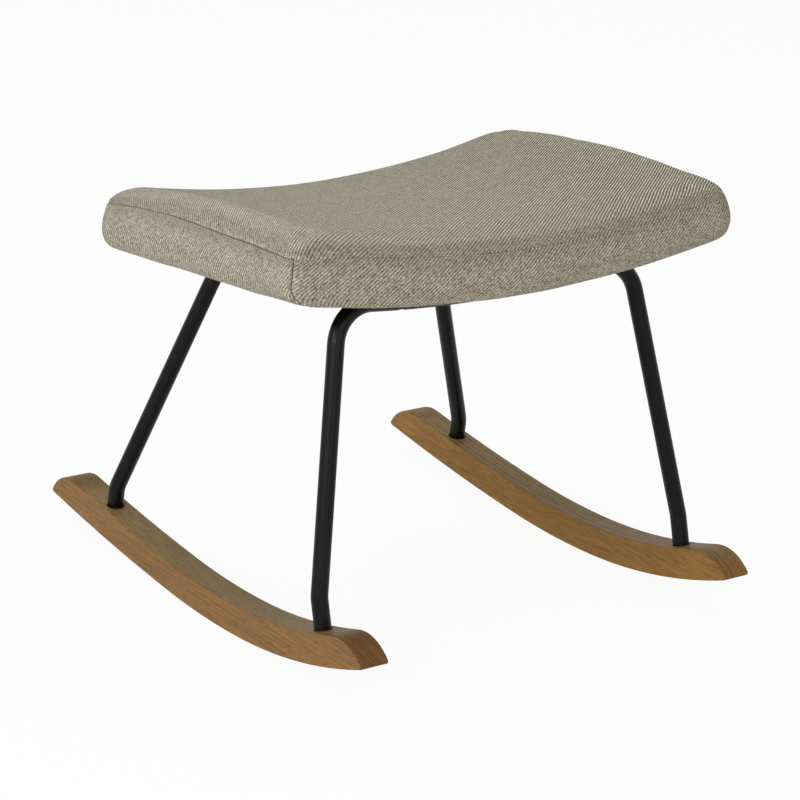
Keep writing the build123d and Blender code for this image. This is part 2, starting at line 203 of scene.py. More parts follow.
# ---------------------------------------------------------------- finishes
def twill_tweed():
    """Wool-mix upholstery cloth in a 2/2 twill.

    Every yarn passes over two and under two, one step over in each row, so the floats make fine
    slanting ribs. Mottled yarns, light one way and darker the other, give a heathered clay tone.
    """
    material, tree = new_surface("wool_twill_clay")
    cloth = add_node(tree, "UVMap", uv_map="weave")
    place = add_node(tree, "SeparateXYZ", [cloth])
    # weaving and stretching leave the yarns a little off straight
    drift = add_node(tree, "TexNoise", {"Vector": cloth, "Scale": YARN_DRIFT_SCALE, "Detail": 2.0})
    centred = add_node(tree, "Math", [drift, 0.5], operation="SUBTRACT")
    shift = add_node(tree, "Math", [centred, YARN_DRIFT], operation="MULTIPLY")
    warp = add_node(tree, "Math", [place.outputs["X"], 1 / WARP_PITCH, shift], operation="MULTIPLY_ADD")
    weft = add_node(tree, "Math", [place.outputs["Y"], 1 / WEFT_PITCH, shift], operation="MULTIPLY_ADD")
    warp_number = add_node(tree, "Math", [warp], operation="FLOOR")
    weft_number = add_node(tree, "Math", [weft], operation="FLOOR")
    warp_part = add_node(tree, "Math", [warp], operation="FRACT")
    weft_part = add_node(tree, "Math", [weft], operation="FRACT")
    # in each row the pattern moves on by one yarn; a repeat is four yarns
    steps = add_node(tree, "Math", [warp_number, weft_number], operation="SUBTRACT")
    phase = add_node(tree, "Math", [steps, 4.0], operation="FLOORED_MODULO")
    repeat = add_node(tree, "Math", [steps, 0.25], operation="MULTIPLY")
    repeat_number = add_node(tree, "Math", [repeat], operation="FLOOR")
    warp_up = add_node(tree, "Math", [phase, 1.5], operation="LESS_THAN")
    # how far along its float of two yarns the point lies
    warp_run = add_node(tree, "Math", [weft_part, phase], operation="SUBTRACT")
    warp_along = add_node(tree, "Math", [warp_run, 0.5, 0.5], operation="MULTIPLY_ADD")
    weft_run = add_node(tree, "Math", [warp_part, phase], operation="ADD")
    weft_along = add_node(tree, "Math", [weft_run, 0.5, -1.0], operation="MULTIPLY_ADD")
    along = add_node(tree, "Mix", {0: warp_up, 2: weft_along, 3: warp_along})
    across = add_node(tree, "Mix", {0: warp_up, 2: weft_part, 3: warp_part})
    along_turn = add_node(tree, "Math", [along, math.pi], operation="MULTIPLY")
    across_turn = add_node(tree, "Math", [across, math.pi], operation="MULTIPLY")
    along_arch = add_node(tree, "Math", [along_turn], operation="SINE")
    across_arch = add_node(tree, "Math", [across_turn], operation="SINE")
    relief = add_node(tree, "Math", [along_arch, across_arch], operation="MULTIPLY")
    # one chance value per float, and slow changes of tone along every yarn
    yarn_number = add_node(tree, "Mix", {0: warp_up, 2: weft_number, 3: warp_number})
    float_place = add_node(tree, "CombineXYZ", [yarn_number, repeat_number, warp_up])
    chance = add_node(tree, "TexWhiteNoise", [float_place], noise_dimensions="3D")
    # painted shade in the grooves between the floats and painted light on their crests, both strongest on
    # faces that look up; on the bands single floats show more
    facing = add_node(tree, "SeparateXYZ", [add_node(tree, "NewGeometry").outputs["Normal"]])
    groove_shade = add_node(tree, "MapRange", {"Value": facing.outputs["Z"], "From Min": 0.24, "From Max": 0.68,
                                         "To Min": 0.51, "To Max": 0.02})
    ridge_light = add_node(tree, "MapRange", {"Value": facing.outputs["Z"], "From Min": 0.44, "From Max": 0.87,
                                        "To Min": 1.0, "To Max": 1.8})
    fleck_size = add_node(tree, "MapRange", {"Value": facing.outputs["Z"], "From Min": 0.3,
                                             "From Max": 0.85, "To Min": 0.8, "To Max": 0.35})
    # painted shade and light: over the top, growing towards its right end, the dark weft is shaded further and
    # the warp lit a little more
    on_top = add_node(tree, "MapRange", {"Value": facing.outputs["Z"], "From Min": 0.6, "From Max": 0.9})
    right_shade_share = add_node(tree, "MapRange", {"Value": place.outputs["X"], "From Min": -0.12, "From Max": 0.16,
                                        "To Max": 0.42})
    right_shade = add_node(tree, "Math", [on_top, right_shade_share], operation="MULTIPLY")
    weft_shaded = add_node(tree, "Math", [right_shade, -1.0, 1.0], operation="MULTIPLY_ADD")
    warp_lit = add_node(tree, "Math", [right_shade, 0.2, 1.0], operation="MULTIPLY_ADD")
    right_shade_and_light = add_node(tree, "Mix", {0: warp_up, 2: weft_shaded, 3: warp_lit})
    off_mean = add_node(tree, "Math", [chance, 0.5], operation="SUBTRACT")
    fleck = add_node(tree, "Math", [off_mean, fleck_size], operation="MULTIPLY")
    length = add_node(tree, "Mix", {0: warp_up, 2: place.outputs["X"], 3: place.outputs["Y"]})
    stretch = add_node(tree, "Math", [length, SLUB_SCALE], operation="MULTIPLY")
    spun = add_node(tree, "Math", [yarn_number, YARN_SPREAD], operation="MULTIPLY")
    yarn_place = add_node(tree, "CombineXYZ", [spun, stretch, warp_up])
    slub = add_node(tree, "TexNoise", {"Vector": yarn_place, "Scale": 1.0, "Detail": 2.0})
    slub_tone = add_node(tree, "Math", [slub, 1.2, -0.1], operation="MULTIPLY_ADD")
    tone = add_node(tree, "Math", [slub_tone, fleck], operation="ADD")
    warp_colour = add_node(tree, "Mix", {0: tone, 6: linear("#A59A84"), 7: linear("#F6F0E0")},
                           data_type="RGBA")
    weft_colour = add_node(tree, "Mix", {0: tone, 6: linear("#665A46"), 7: linear("#C6BBA5")},
                           data_type="RGBA")
    yarn = add_node(tree, "Mix", {0: warp_up, 6: weft_colour.outputs[2], 7: warp_colour.outputs[2]},
                    data_type="RGBA")
    patches = add_node(tree, "TexNoise", {"Vector": cloth, "Scale": PATCH_SCALE, "Detail": 3.0})
    worn = add_node(tree, "MapRange", {"Value": patches, "To Min": 0.94, "To Max": 1.06})
    # painted shade and light: the weave's grooves darken the yarn colour and the floats' crests lighten it,
    # with the top's right end shaded further; the patches are the cloth's own
    relief_shade = add_node(tree, "MapRange", {"Value": relief, "To Min": groove_shade, "To Max": ridge_light})
    relief_and_right_shade = add_node(tree, "Math", [relief_shade, right_shade_and_light], operation="MULTIPLY")
    lit = add_node(tree, "Math", [relief_and_right_shade, worn], operation="MULTIPLY")
    woven = add_node(tree, "VectorMath", {0: yarn.outputs[2], "Scale": lit}, operation="SCALE")
    # painted brown shade along the sewn-in line, where the cloth is drawn in
    seam = add_node(tree, "Attribute", attribute_name="seam")
    seam_shade_share = add_node(tree, "MapRange", {"Value": seam.outputs["Fac"], "From Min": 0.2})
    colour = add_node(tree, "Mix", {0: seam_shade_share, 6: woven, 7: linear("#43372A")}, data_type="RGBA")
    bump = add_node(tree, "Bump", {"Height": relief, "Strength": 0.9, "Distance": YARN_RELIEF})
    shader = add_node(tree, "BsdfPrincipled", {
        "Base Color": colour.outputs[2], "Normal": bump, "Roughness": 0.92, "IOR": 1.5,
        "Specular IOR Level": 0.08, "Sheen Weight": 0.04, "Sheen Roughness": 0.5})
    add_node(tree, "OutputMaterial", {"Surface": shader})
    return material


def oiled_oak(name, ring_turn, ring_pitch, ring_share, deep, pale, soak_and_shade, end_line):
    """Sawn and oiled oak, each board with its own rings and tone, and its ends darkened partly by oil soaked
    into the end grain and partly with painted shade.

    The grain runs straight along Y while the rocker curves, so the darker late wood slants across its
    side. Short open pores and a soft oil shine show between the rings.
    """
    material, tree = new_surface(name)
    object_place = add_node(tree, "TexCoord").outputs["Object"]
    board = add_node(tree, "Mapping", {"Vector": object_place, "Rotation": (0, ring_turn, 0)})
    # growth rings, one pitch apart, that wander slowly along the board
    slow = add_node(tree, "Mapping", {"Vector": board, "Scale": (30, 2.2, 30)})
    wander = add_node(tree, "TexNoise", {"Vector": slow, "Scale": 1.0, "Detail": 1.0})
    across = add_node(tree, "SeparateXYZ", [board])
    ring_place = add_node(tree, "Math", [across.outputs["X"], 1 / ring_pitch], operation="MULTIPLY")
    ring = add_node(tree, "Math", [wander, 0.7, ring_place], operation="MULTIPLY_ADD")
    ring_part = add_node(tree, "Math", [ring], operation="FRACT")
    early = add_node(tree, "MapRange", {"Value": ring_part, "From Min": 0.5, "From Max": 0.86})
    late = add_node(tree, "MapRange", {"Value": ring_part, "From Min": 0.86, "From Max": 1.0,
                                       "To Min": 1.0, "To Max": 0.0})
    ring_number = add_node(tree, "Math", [ring], operation="FLOOR")
    # some years leave a strong line and some hardly any
    year = add_node(tree, "TexWhiteNoise", {"W": ring_number}, noise_dimensions="1D")
    strength = add_node(tree, "MapRange", {"Value": year, "To Min": 0.2})
    edge = add_node(tree, "Math", [early, late], operation="MULTIPLY")
    band = add_node(tree, "Math", [edge, strength], operation="MULTIPLY")
    # bundles of fibres, drawn 1.6 mm wide so that they show, and 60 mm long
    fibre_place = add_node(tree, "Mapping", {"Vector": board, "Scale": (620, 16, 620)})
    fibre = add_node(tree, "TexNoise", {"Vector": fibre_place, "Scale": 1.0, "Detail": 3.0, "Roughness": 0.6})
    # open pores about 0.5 mm wide, drawn 0.9 mm wide so that they show, and 12 mm long
    pore_place = add_node(tree, "Mapping", {"Vector": board, "Scale": (1150, 80, 1150)})
    pores = add_node(tree, "TexNoise", {"Vector": pore_place, "Scale": 1.0, "Detail": 1.0})
    pore = add_node(tree, "MapRange", {"Value": pores, "From Min": 0.58, "From Max": 0.68})
    # slow changes of tone, 40 mm wide and 170 mm long
    shade_place = add_node(tree, "Mapping", {"Vector": board, "Scale": (25, 6, 25)})
    shade_noise = add_node(tree, "TexNoise", {"Vector": shade_place, "Scale": 1.0, "Detail": 2.0})
    base = add_node(tree, "Mix", {0: shade_noise, 6: linear(deep), 7: linear(pale)}, data_type="RGBA")
    # upper faces get a painted olive tint for the reflection and shade that lie on them, and the ends darken,
    # partly as end grain drinks more oil and partly with painted shade
    facing = add_node(tree, "SeparateXYZ", [add_node(tree, "NewGeometry").outputs["Normal"]])
    top_light_share = add_node(tree, "MapRange", {"Value": facing.outputs["Z"], "From Min": 0.86, "From Max": 0.96,
                                         "To Max": 0.6})
    top_light_tinted = add_node(tree, "Mix", {0: top_light_share, 6: base.outputs[2], 7: linear("#7C6F48")}, data_type="RGBA")
    endways = add_node(tree, "Math", [facing.outputs["Y"]], operation="ABSOLUTE")
    end_face = add_node(tree, "MapRange", {"Value": endways, "From Min": 0.22, "From Max": 0.4})
    # the noses are rounded from just past the legs, which cuts the grain open on their crest as well; the
    # crest also gets the painted shade of the ends
    along = add_node(tree, "SeparateXYZ", [object_place])
    from_middle = add_node(tree, "Math", [along.outputs["Y"]], operation="ABSOLUTE")
    past_leg = add_node(tree, "MapRange", {"Value": from_middle, "From Min": NOSE_START,
                                           "From Max": NOSE_FULLY_DARK})
    not_side = add_node(tree, "MapRange", {"Value": facing.outputs["Z"], "From Min": 0.3, "From Max": 0.6})
    crest = add_node(tree, "Math", [past_leg, not_side], operation="MULTIPLY")
    end_and_crest = add_node(tree, "Math", [end_face, crest], operation="MAXIMUM")
    # the ends' darkening: partly oil in the end grain, partly painted shade
    end_grain_and_shade = add_node(tree, "Math", [end_and_crest, soak_and_shade], operation="MULTIPLY")
    soaked_and_shaded = add_node(tree, "Mix", {0: end_grain_and_shade, 6: top_light_tinted.outputs[2], 7: linear("#543414")},
                      data_type="RGBA")
    ring_depth = add_node(tree, "Math", [band, ring_share], operation="MULTIPLY")
    ring_tone = add_node(tree, "Mix", {0: end_grain_and_shade, 6: linear("#4A2F14"), 7: linear(end_line)},
                         data_type="RGBA")
    ringed = add_node(tree, "Mix", {0: ring_depth, 6: soaked_and_shaded.outputs[2], 7: ring_tone.outputs[2]},
                      data_type="RGBA")
    fibre_tone = add_node(tree, "MapRange", {"Value": fibre, "From Min": 0.34, "From Max": 0.66,
                                             "To Min": 0.77, "To Max": 1.2})
    toned = add_node(tree, "VectorMath", {0: ringed.outputs[2], "Scale": fibre_tone}, operation="SCALE")
    pore_depth = add_node(tree, "Math", [pore, 0.5], operation="MULTIPLY")
    colour = add_node(tree, "Mix", {0: pore_depth, 6: toned, 7: linear("#46290F")}, data_type="RGBA")
    sunk = add_node(tree, "Math", [pore, -1.0], operation="MULTIPLY")
    relief = add_node(tree, "Math", [fibre, 0.3, sunk], operation="MULTIPLY_ADD")
    bump = add_node(tree, "Bump", {"Height": relief, "Strength": 0.35, "Distance": 0.15 * MM})
    shader = add_node(tree, "BsdfPrincipled", {
        "Base Color": colour.outputs[2], "Normal": bump, "Roughness": 0.5, "IOR": 1.5,
        "Specular IOR Level": 0.16})
    add_node(tree, "OutputMaterial", {"Surface": shader})
    return material


def satin_powder_coat():
    """Black polyester powder, sprayed and baked on steel tube: even, satin, with a faint orange peel."""
    material, tree = new_surface("satin_black_powder_coat")
    place = add_node(tree, "TexCoord").outputs["Object"]
    # orange peel about 1.5 mm across
    peel = add_node(tree, "TexNoise", {"Vector": place, "Scale": 650.0, "Detail": 1.0})
    bump = add_node(tree, "Bump", {"Height": peel, "Strength": 0.25, "Distance": 0.1 * MM})
    handled = add_node(tree, "TexNoise", {"Vector": place, "Scale": 18.0, "Detail": 3.0})
    rough = add_node(tree, "MapRange", {"Value": handled, "To Min": 0.26, "To Max": 0.38})
    tint = add_node(tree, "Mix", {0: peel, 6: linear("#050505"), 7: linear("#0C0C0B")}, data_type="RGBA")
    shader = add_node(tree, "BsdfPrincipled", {
        "Base Color": tint.outputs[2], "Normal": bump, "Roughness": rough, "IOR": 1.5,
        "Specular IOR Level": 0.15})
    add_node(tree, "OutputMaterial", {"Surface": shader})
    return material


def zinc_steel():
    """Bright zinc plate on steel bolts, inserts, washers and staples: pale grey with a cloudy, dull shine."""
    material, tree = new_surface("zinc_plated_steel")
    place = add_node(tree, "TexCoord").outputs["Object"]
    # plating crystals show as clouds about 2.5 mm across
    cloud = add_node(tree, "TexNoise", {"Vector": place, "Scale": 400.0, "Detail": 4.0})
    tint = add_node(tree, "Mix", {0: cloud, 6: linear("#9FA2A5"), 7: linear("#CDCFD0")}, data_type="RGBA")
    rough = add_node(tree, "MapRange", {"Value": cloud, "To Min": 0.26, "To Max": 0.5})
    shader = add_node(tree, "BsdfPrincipled", {
        "Base Color": tint.outputs[2], "Roughness": rough, "Metallic": 1})
    add_node(tree, "OutputMaterial", {"Surface": shader})
    return material


def beech_plywood():
    """Bent beech plywood: pale, with short flecks 1 mm wide and 25 mm long."""
    material, tree = new_surface("beech_plywood")
    place = add_node(tree, "TexCoord").outputs["Object"]
    fleck_place = add_node(tree, "Mapping", {"Vector": place, "Scale": (40, 1000, 1000)})
    fleck = add_node(tree, "TexNoise", {"Vector": fleck_place, "Scale": 1.0, "Detail": 3.0})
    tint = add_node(tree, "Mix", {0: fleck, 6: linear("#A87C4E"), 7: linear("#D6B488")}, data_type="RGBA")
    bump = add_node(tree, "Bump", {"Height": fleck, "Strength": 0.2, "Distance": 0.1 * MM})
    shader = add_node(tree, "BsdfPrincipled", {
        "Base Color": tint.outputs[2], "Normal": bump, "Roughness": 0.6, "IOR": 1.5})
    add_node(tree, "OutputMaterial", {"Surface": shader})
    return material


def spunbond_cloth():
    """Black spun-bonded polypropylene under the seat: matt fibres welded in a grid of dots 2 mm apart."""
    material, tree = new_surface("black_spunbond")
    place = add_node(tree, "TexCoord").outputs["Object"]
    dot_turns = add_node(tree, "VectorMath", {0: place, "Scale": math.tau / WELD_PITCH}, operation="SCALE")
    dot_place = add_node(tree, "SeparateXYZ", [dot_turns])
    dot_x = add_node(tree, "Math", [dot_place.outputs["X"]], operation="SINE")
    dot_y = add_node(tree, "Math", [dot_place.outputs["Y"]], operation="SINE")
    dots = add_node(tree, "Math", [dot_x, dot_y], operation="MULTIPLY")
    fibres = add_node(tree, "TexNoise", {"Vector": place, "Scale": 900.0, "Detail": 3.0})
    relief = add_node(tree, "Math", [fibres, dots], operation="ADD")
    tint = add_node(tree, "Mix", {0: fibres, 6: linear("#101010"), 7: linear("#2C2C2C")}, data_type="RGBA")
    bump = add_node(tree, "Bump", {"Height": relief, "Strength": 0.6, "Distance": 0.15 * MM})
    shader = add_node(tree, "BsdfPrincipled", {
        "Base Color": tint.outputs[2], "Normal": bump, "Roughness": 0.85, "IOR": 1.5})
    add_node(tree, "OutputMaterial", {"Surface": shader})
    return material


# ---------------------------------------------------------------- cushion
def corner_pull(across, back):
    """The front left corner of the cover is drawn out sideways by its seam."""
    away = math.hypot(across + HALF_LENGTH, back + HALF_WIDTH)
    return CORNER_PULL * math.exp(-((away / CORNER_PULL_REACH) ** 2))


def seam_swing(across, back, height):
    """How far the left end's seam is sewn out of true; the cloth over and under it follows less and less."""
    side_share = back / HALF_WIDTH
    swing = SEAM_SWING * math.tanh(SEAM_SWING_TURN * side_share) - SEAM_CORNER_DROP * side_share**2
    near_end = math.exp(-(((across + HALF_LENGTH) / SEAM_SWING_REACH) ** 2))
    over_seam = (height - SEAM_HEIGHT) / SHOULDER_HEIGHT
    follows = 1 - over_seam if over_seam > 0 else height / SEAM_HEIGHT
    return swing * near_end * min(max(follows, 0), 1)


def seat_point(across, back, height):
    """A point of the seat: across the stool, back towards the rear, height over the rim's saddle."""
    end_share, side_share = across / HALF_LENGTH, back / HALF_WIDTH
    upper = min(max(height / SEAM_HEIGHT, 0), 1)
    over_tuck = min(max(height / TUCK_HEIGHT, 0), 1)
    twist = FILLING_TWIST * end_share * side_share * (1 - TWIST_LOSS * end_share**4)
    arch = END_SEAM_ARCH * end_share**6 * (1 - side_share**2)
    # the corner seam hangs upright and only bends under at the tuck over the hem
    pull = corner_pull(across, back) * (1 - (1 - over_tuck) ** 2)
    height += upper * (twist + arch) + seam_swing(across, back, height)
    across, back = across + pull.x, back + pull.y
    rise = SADDLE_RADIUS - math.sqrt(SADDLE_RADIUS**2 - across**2)
    lean = END_LEAN * across / HALF_LENGTH
    up = SEAT_UP * math.cos(lean) - SEAT_SIDE * math.sin(lean)
    return RIM_ORIGIN + SEAT_SIDE * across + SEAT_UP * rise + SEAT_BACK * back + up * height


def column_shares(length):
    """Shares from -1 to 1 along one side: close together at its two corner seams, even between them."""
    fine = COLUMNS_FROM_SEAM[-1]
    run = length - 2 * fine
    steps = round(run / GRID_STEP)
    places = COLUMNS_FROM_SEAM + [fine + run * step / steps for step in range(1, steps)]
    places += [length - place for place in reversed(COLUMNS_FROM_SEAM)]
    return [2 * place / length - 1 for place in places]


LONG_SHARES = column_shares(2 * (HALF_LENGTH - CORNER_RADIUS) + CORNER_RADIUS * math.pi / 2)
END_SHARES = column_shares(2 * (HALF_WIDTH - CORNER_RADIUS) + CORNER_RADIUS * math.pi / 2)
# each side: its shares, whether it is long, and the plan axes that point along it and outwards
SIDES = {
    "front": (LONG_SHARES, True, (1, 0), (0, -1)),
    "right": (END_SHARES, False, (0, 1), (1, 0)),
    "rear": (LONG_SHARES, True, (-1, 0), (0, 1)),
    "left": (END_SHARES, False, (0, -1), (-1, 0)),
}
# how many columns of a ring each side has, and the column at which it starts
SIDE_COLUMNS = [len(shares) - 1 for shares, *_ in SIDES.values()]
CORNER_COLUMNS = [sum(SIDE_COLUMNS[:side]) for side in range(len(SIDE_COLUMNS))]
# one ring of the cover: how far it is drawn in from the sides and ends, its height and corner radius
Level = namedtuple("Level", "part long_inset end_inset height radius")


def ring_plan(long_inset, end_inset, radius):
    """Plan points round the seat, drawn in from its sides, with rounded corners."""
    points = []
    for shares, is_long, (ax, ay), (ox, oy) in SIDES.values():
        reach, side_reach = HALF_WIDTH - long_inset, HALF_LENGTH - end_inset
        if not is_long:
            reach, side_reach = side_reach, reach
        straight = side_reach - radius
        total = straight + radius * math.pi / 4
        for share in shares[:-1]:
            place = abs(share) * total
            along, out = min(place, straight), reach
            if place > straight:
                turn = (place - straight) / radius
                along, out = straight + radius * math.sin(turn), reach - radius * (1 - math.cos(turn))
            along = math.copysign(along, share)
            points.append((ax * along + ox * out, ay * along + oy * out))
    return points


def rounded_in(height, radius):
    """How far a hem of this radius is drawn in at a height over its lowest line."""
    low = max(radius - height, 0)
    return radius - math.sqrt(radius**2 - low**2)


def cover_levels():
    """The cover's rings from under the rim, over the hem and the band, to the top."""
    levels = [
        Level("under", RIM_WIDTH, RIM_WIDTH, RIM_DROP, RIM_CORNER_RADIUS),
        Level("under", MID_RIM_LONG_INSET, MID_RIM_END_INSET, 0.5 * RIM_DROP, MID_RIM_CORNER_RADIUS),
    ]
    band_heights = [HEM_RADIUS + BAND_RING_STEP * step for step in range(BAND_RINGS)]
    close_to_seam = [SEAM_HEIGHT - below for below in RINGS_UNDER_SEAM]
    for height in HEM_RINGS + band_heights + close_to_seam:
        share = max(height - HEM_RADIUS, 0) / (SEAM_HEIGHT - HEM_RADIUS)
        swell = math.sin(math.pi * share**BULGE_POWER)
        insets = [rounded_in(height, radius) + BAND_DRAFT * share - bulge * swell
                  for radius, bulge in ((HEM_RADIUS, LONG_BAND_BULGE), (END_HEM_RADIUS, END_BAND_BULGE))]
        levels.append(Level("band", *insets, height, CORNER_RADIUS))
    for degrees in SHOULDER_TURNS:
        turn = math.radians(degrees)
        share = (1 - math.cos(turn)) ** SHOULDER_FULLNESS
        radius = CORNER_RADIUS + (TOP_CORNER_RADIUS - CORNER_RADIUS) * share
        levels.append(Level("top", BAND_DRAFT + LONG_SHOULDER * share, BAND_DRAFT + END_SHOULDER * share,
                            SEAM_HEIGHT + SHOULDER_HEIGHT * math.sin(turn), radius))
    return levels


def top_height(across, back, share):
    """Extra height of the padded top: its crown from front to back, flatter at the ends and uneven."""
    half_span = HALF_WIDTH - BAND_DRAFT - LONG_SHOULDER
    at_end = 1 - CROWN_LOSS * (across / HALF_LENGTH) ** 4
    crown = CROWN_HEIGHT * at_end * max(1 - (back / half_span) ** 2, 0)
    uneven = TOP_UNEVENNESS * noise.noise(Vector((across, back, 0)) / TOP_UNEVENNESS_LENGTH)
    return (crown + uneven) * share


def hem_lift(across, back, level):
    """How far the cloth under the top seam lies above its ring: the staples pull it up, and it sags."""
    wave = noise.noise(Vector((across, back, HEM_WAVE_LAYER)) / HEM_WAVE_LENGTH)
    sag = 0
    if level.part == "band":
        end_share = across / HALF_LENGTH
        held_up = corner_pull(across, back).length / CORNER_PULL.length
        slack = HEM_SLACK * math.exp(-((end_share / HEM_SLACK_SHARE) ** 2))
        sag = HEM_SAG * end_share**2 * (1 - held_up) + slack
    return (HEM_WAVE * wave - sag) * (1 - level.height / SEAM_HEIGHT) ** 2


def laid_flat(point, spare):
    """Where a point of the top's cloth lies when it is flat: the shoulders use up some spare length."""
    places = []
    for value, reach in zip(point, (HALF_LENGTH, HALF_WIDTH)):
        near_edge = min(max(1 - (reach - abs(value)) / SHOULDER_RUN, 0), 1)
        places.append(math.copysign(abs(value) + spare * near_edge, value))
    return places


def lay_rings(levels, plans):
    """The points of the cover's rings, and the numbers of each ring's points."""
    vertices, rings = [], []
    for level, plan in zip(levels, plans):
        rings.append(range(len(vertices), len(vertices) + len(plan)))
        for across, back in plan:
            extra = 0
            if level.part == "top":
                extra = top_height(across, back, (level.height - SEAM_HEIGHT) / SHOULDER_HEIGHT)
            elif level.height < SEAM_HEIGHT:
                extra = hem_lift(across, back, level)
            vertices.append(seat_point(across, back, level.height + extra))
    return vertices, rings


def lay_sides(levels, plans, rings, seam_level):
    """The faces between the rings, and where their corners lie on the flat cloth."""
    cloth_lengths = [0]
    for lower, upper in zip(levels, levels[1:]):
        climb = math.hypot(upper.long_inset - lower.long_inset, upper.height - lower.height)
        cloth_lengths.append(cloth_lengths[-1] + climb)
    faces, cloth_places = [], []
    column = 0
    for shares, is_long, _, _ in SIDES.values():
        for start, end in zip(shares, shares[1:]):
            following = (column + 1) % len(rings[0])
            for level in range(len(levels) - 1):
                loop = ((level, column, start), (level, following, end),
                        (level + 1, following, end), (level + 1, column, start))
                faces.append(tuple(rings[row][place] for row, place, _ in loop))
                places = []
                for row, place, share in loop:
                    if level >= seam_level:
                        # the top's threads run on straight over the shoulders
                        drawn_in = levels[-1].long_inset - levels[row].long_inset
                        spare = cloth_lengths[-1] - cloth_lengths[row] - drawn_in
                        places.append(laid_flat(plans[row][place], spare))
                    elif is_long:
                        pull = corner_pull(*plans[row][place])
                        places.append((share * HALF_LENGTH + pull.x, cloth_lengths[row]))
                    else:
                        places.append((cloth_lengths[row], share * HALF_WIDTH))
                cloth_places.append(places)
            column += 1
    return faces, cloth_places


def lay_grid(vertices, ring, plan, is_top):
    """Close the cover inside a ring with a grid: add its points, and give its faces and cloth places."""
    last_i, last_j = len(LONG_SHARES) - 1, len(END_SHARES) - 1
    front, right, rear, left = CORNER_COLUMNS
    edge = {}
    for step in range(last_i + 1):
        edge[step, 0] = front + step
        edge[step, last_j] = rear + last_i - step
    for step in range(last_j + 1):
        edge[last_i, step] = right + step
        edge[0, step] = (left + last_j - step) % len(ring)
    grid = {place: ring[column] for place, column in edge.items()}
    flat = {place: Vector(plan[column]) for place, column in edge.items()}
    for i in range(1, last_i):
        for j in range(1, last_j):
            u, v = (LONG_SHARES[i] + 1) / 2, (END_SHARES[j] + 1) / 2
            between_long = flat[i, 0] * (1 - v) + flat[i, last_j] * v
            between_ends = flat[0, j] * (1 - u) + flat[last_i, j] * u
            between_corners = (flat[0, 0] * (1 - u) + flat[last_i, 0] * u) * (1 - v)
            between_corners += (flat[0, last_j] * (1 - u) + flat[last_i, last_j] * u) * v
            point = between_long + between_ends - between_corners
            flat[i, j] = point
            grid[i, j] = len(vertices)
            height = RIM_DROP
            if is_top:
                height = SEAM_HEIGHT + SHOULDER_HEIGHT + top_height(point.x, point.y, 1)
            vertices.append(seat_point(point.x, point.y, height))
    faces, cloth_places = [], []
    for i in range(last_i):
        for j in range(last_j):
            loop = [(i, j), (i + 1, j), (i + 1, j + 1), (i, j + 1)]
            if not is_top:
                loop.reverse()
            faces.append(tuple(grid[place] for place in loop))
            cloth_places.append([tuple(flat[place]) for place in loop])
    return faces, cloth_places


def seam_shares(vertices, rings, hem_level, seam_level):
    """How deep each seam point is sewn and how dark its painted shade is: plain at ends and corners, faint and
    broken along the sides.
    """
    shares = {}
    for column, number in enumerate(rings[seam_level]):
        on_long_side = any(start < column < start + len(LONG_SHARES) - 1
                           for start in (CORNER_COLUMNS[0], CORNER_COLUMNS[2]))
        shares[number] = END_SEAM_SHARE
        if on_long_side:
            from_corner = HALF_LENGTH - abs(vertices[number].x)
            broken = LONG_SEAM_SHARE + LONG_SEAM_VARIES * noise.noise(vertices[number] / LONG_SEAM_BREAK)
            shares[number] = broken * min(LONG_SEAM_START + max(from_corner, 0) / LONG_SEAM_FADE, 1)
    for level in range(hem_level, seam_level):
        for corner in CORNER_COLUMNS:
            shares[rings[level][corner]] = 1
    return shares


def build_cover():
    """The cushion's closed skin, its seam points with their depths, and its points under the board.

    The skin is made of rings, closed by two grids that share the first and the last ring's points.
    """
    levels = cover_levels()
    parts = [level.part for level in levels]
    hem_level, seam_level = parts.index("band"), parts.index("top") - 1
    plans = [ring_plan(level.long_inset, level.end_inset, level.radius) for level in levels]
    vertices, rings = lay_rings(levels, plans)
    side_faces, side_places = lay_sides(levels, plans, rings, seam_level)
    under_start = len(vertices)
    under_faces, under_places = lay_grid(vertices, rings[0], plans[0], is_top=False)
    underside = set(range(under_start, len(vertices))).union(*rings[:hem_level + 1])
    top_faces, top_places = lay_grid(vertices, rings[-1], plans[-1], is_top=True)
    mesh = bpy.data.meshes.new("seat_cushion")
    mesh.from_pydata(vertices, [], side_faces + under_faces + top_faces)
    weave = mesh.uv_layers.new(name="weave")
    for face, places in zip(mesh.polygons, side_places + under_places + top_places):
        for corner, place in zip(face.loop_indices, places):
            weave.data[corner].uv = place
    cushion = bpy.data.objects.new("seat_cushion", mesh)
    bpy.context.scene.collection.objects.link(cushion)
    return cushion, seam_shares(vertices, rings, hem_level, seam_level), underside


def apply_modifier(piece, modifier):
    """Make a modifier's result the piece's own mesh."""
    bpy.ops.object.select_all(action="DESELECT")
    bpy.context.view_layer.objects.active = piece
    piece.select_set(True)
    bpy.ops.object.modifier_apply(modifier=modifier.name)


def fill_out(cushion, sewn):
    """Press the cover outwards as cloth held at its seams and under the board."""
    start = [vertex.co.copy() for vertex in cushion.data.vertices]
    held = cushion.vertex_groups.new(name="sewn")
    held.add(sorted(sewn), 1, "REPLACE")
    cloth = cushion.modifiers.new("filling", "CLOTH")
    cloth.settings.vertex_group_mass = held.name
    cloth.settings.use_pressure = True
    cloth.settings.uniform_pressure_force = CLOTH_PRESSURE
    cloth.settings.effector_weights.gravity = 0
    cloth.collision_settings.use_collision = False
    cloth.point_cache.frame_end = CLOTH_FRAMES
    for number in range(1, CLOTH_FRAMES + 1):
        bpy.context.scene.frame_set(number)
    apply_modifier(cushion, cloth)
    bpy.context.scene.frame_set(1)
    cushion.vertex_groups.clear()
    for vertex, before in zip(cushion.data.vertices, start):
        move = vertex.co - before
        if move.length > CLOTH_REACH:
            vertex.co = before + move.normalized() * CLOTH_REACH


